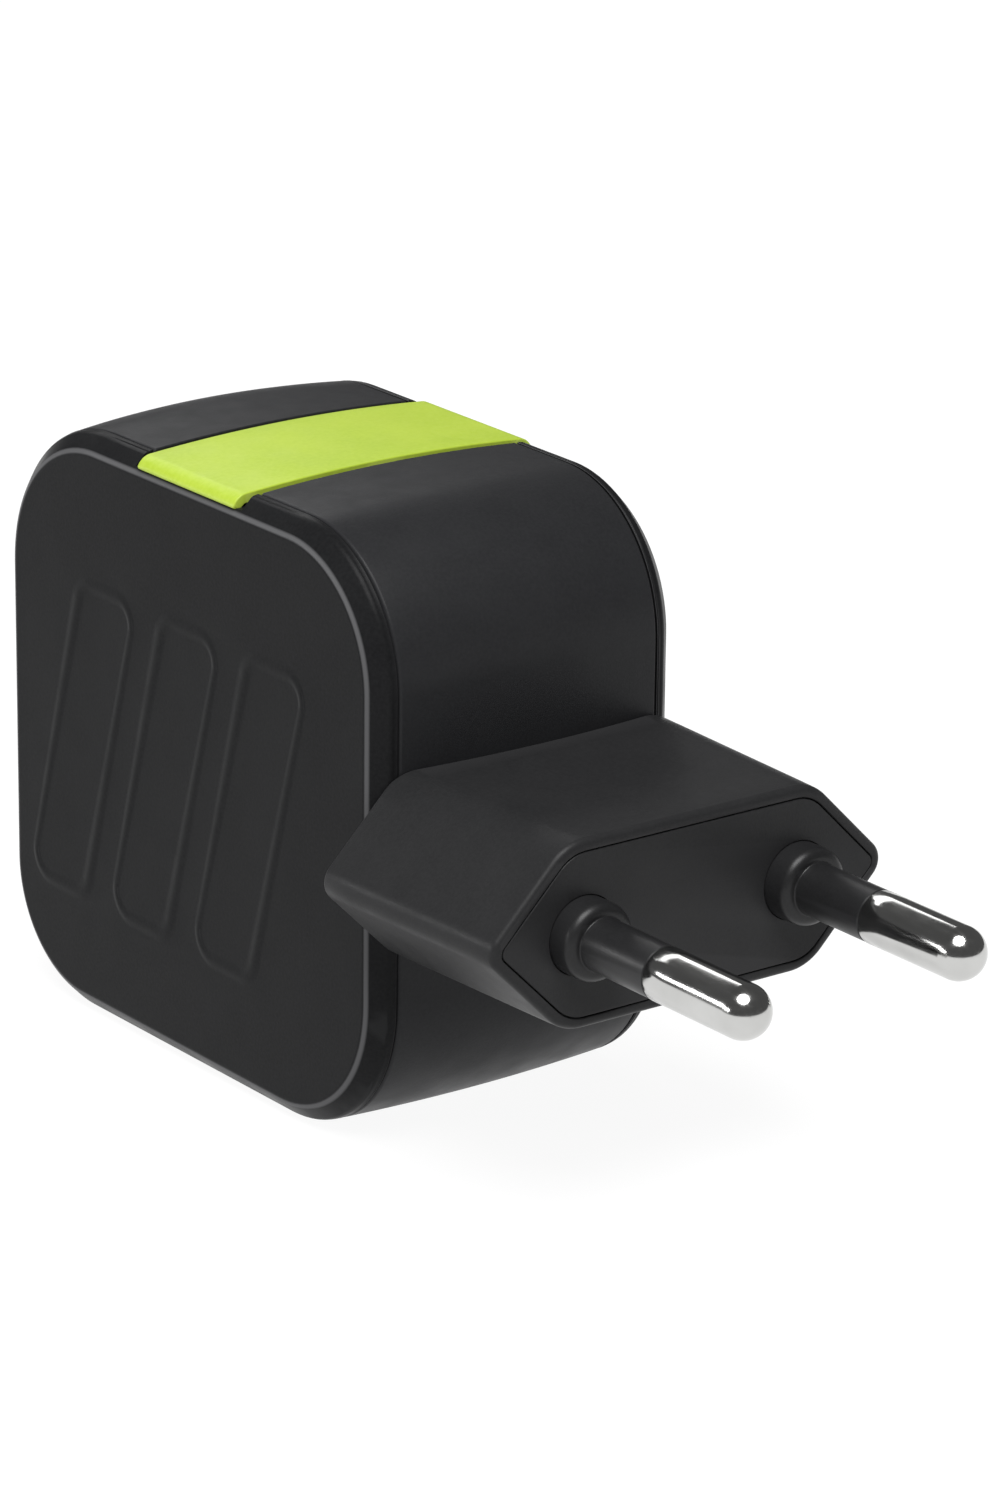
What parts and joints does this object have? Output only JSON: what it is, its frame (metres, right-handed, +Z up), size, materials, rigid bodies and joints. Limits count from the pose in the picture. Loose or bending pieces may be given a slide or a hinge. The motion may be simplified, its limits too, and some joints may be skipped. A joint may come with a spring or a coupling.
{
  "type": "usb wall charger",
  "caption": "Compact wall charger: pillow-shaped case with flat side covers, a coloured top inlay, a fixed six-sided plug block with sleeved round pins, and a charging port.",
  "frame": {"origin": "on the plane that the flat bottom rests on, under the middle of the whole object's box, plug and pins included", "axes": "+Z up, from the flat bottom to the inlay; +Y out of the charging port, so -Y is the way the plug goes into a wall; +X across the case, to the right of someone who looks along +Y"},
  "size_m": [0.0362, 0.0876, 0.0468],
  "materials": {
    "case_plastic": "fine moulded texture, satin",
    "plug_plastic": "fine moulded texture, satin",
    "inlay_plastic": "moulded in colour, satin",
    "sleeve_plastic": "smooth",
    "pin_metal": "nickel plated brass, polished",
    "bezel_plastic": "smooth",
    "port_steel": "folded sheet, plated",
    "tongue_plastic": "smooth",
    "lead_copper": "tinned copper wire",
    "board_laminate": "glass epoxy laminate with solder mask",
    "ferrite": "ground ferrite",
    "bobbin_plastic": "moulded",
    "winding_tape": "polyester tape over wire",
    "enamelled_wire": "enamelled copper wire",
    "capacitor_sleeve": "shrink sleeve over an aluminium can",
    "polymer_can": "drawn can",
    "film_box": "moulded box",
    "disc_ceramic": "dipped coating",
    "fuse_body": "moulded",
    "chip_epoxy": "moulded epoxy",
    "spreader_aluminium": "rolled sheet",
    "insulation_film": "polyester film"
  },
  "bodies": {
    "root": {"case_wrap": "case_plastic", "left_side_cover": "case_plastic", "right_side_cover": "case_plastic", "top_inlay": "inlay_plastic", "port_bezel": "bezel_plastic", "plug_block": "plug_plastic", "plug_face_plate": "plug_plastic", "left_pin": "pin_metal", "right_pin": "pin_metal", "left_pin_sleeve": "sleeve_plastic", "right_pin_sleeve": "sleeve_plastic", "left_pin_lead": "lead_copper", "right_pin_lead": "lead_copper", "port_shell": "port_steel", "port_tongue": "tongue_plastic", "port_board": "board_laminate", "port_chip": "chip_epoxy", "main_board": "board_laminate", "fuse": "fuse_body", "film_capacitor": "film_box", "choke_core": "ferrite", "choke_winding_front": "enamelled_wire", "choke_winding_rear": "enamelled_wire", "bridge_rectifier": "chip_epoxy", "input_capacitor_front": "capacitor_sleeve", "input_capacitor_rear": "capacitor_sleeve", "transformer_core_inner": "ferrite", "transformer_core_outer": "ferrite", "transformer_bobbin": "bobbin_plastic", "transformer_winding": "winding_tape", "safety_capacitor": "disc_ceramic", "power_switch_chip": "chip_epoxy", "sync_rectifier_chip": "chip_epoxy", "optocoupler": "chip_epoxy", "output_capacitor_upper": "polymer_can", "output_capacitor_lower": "polymer_can", "heat_spreader": "spreader_aluminium", "insulation_sheet": "insulation_film"}
  },
  "joints": []
}
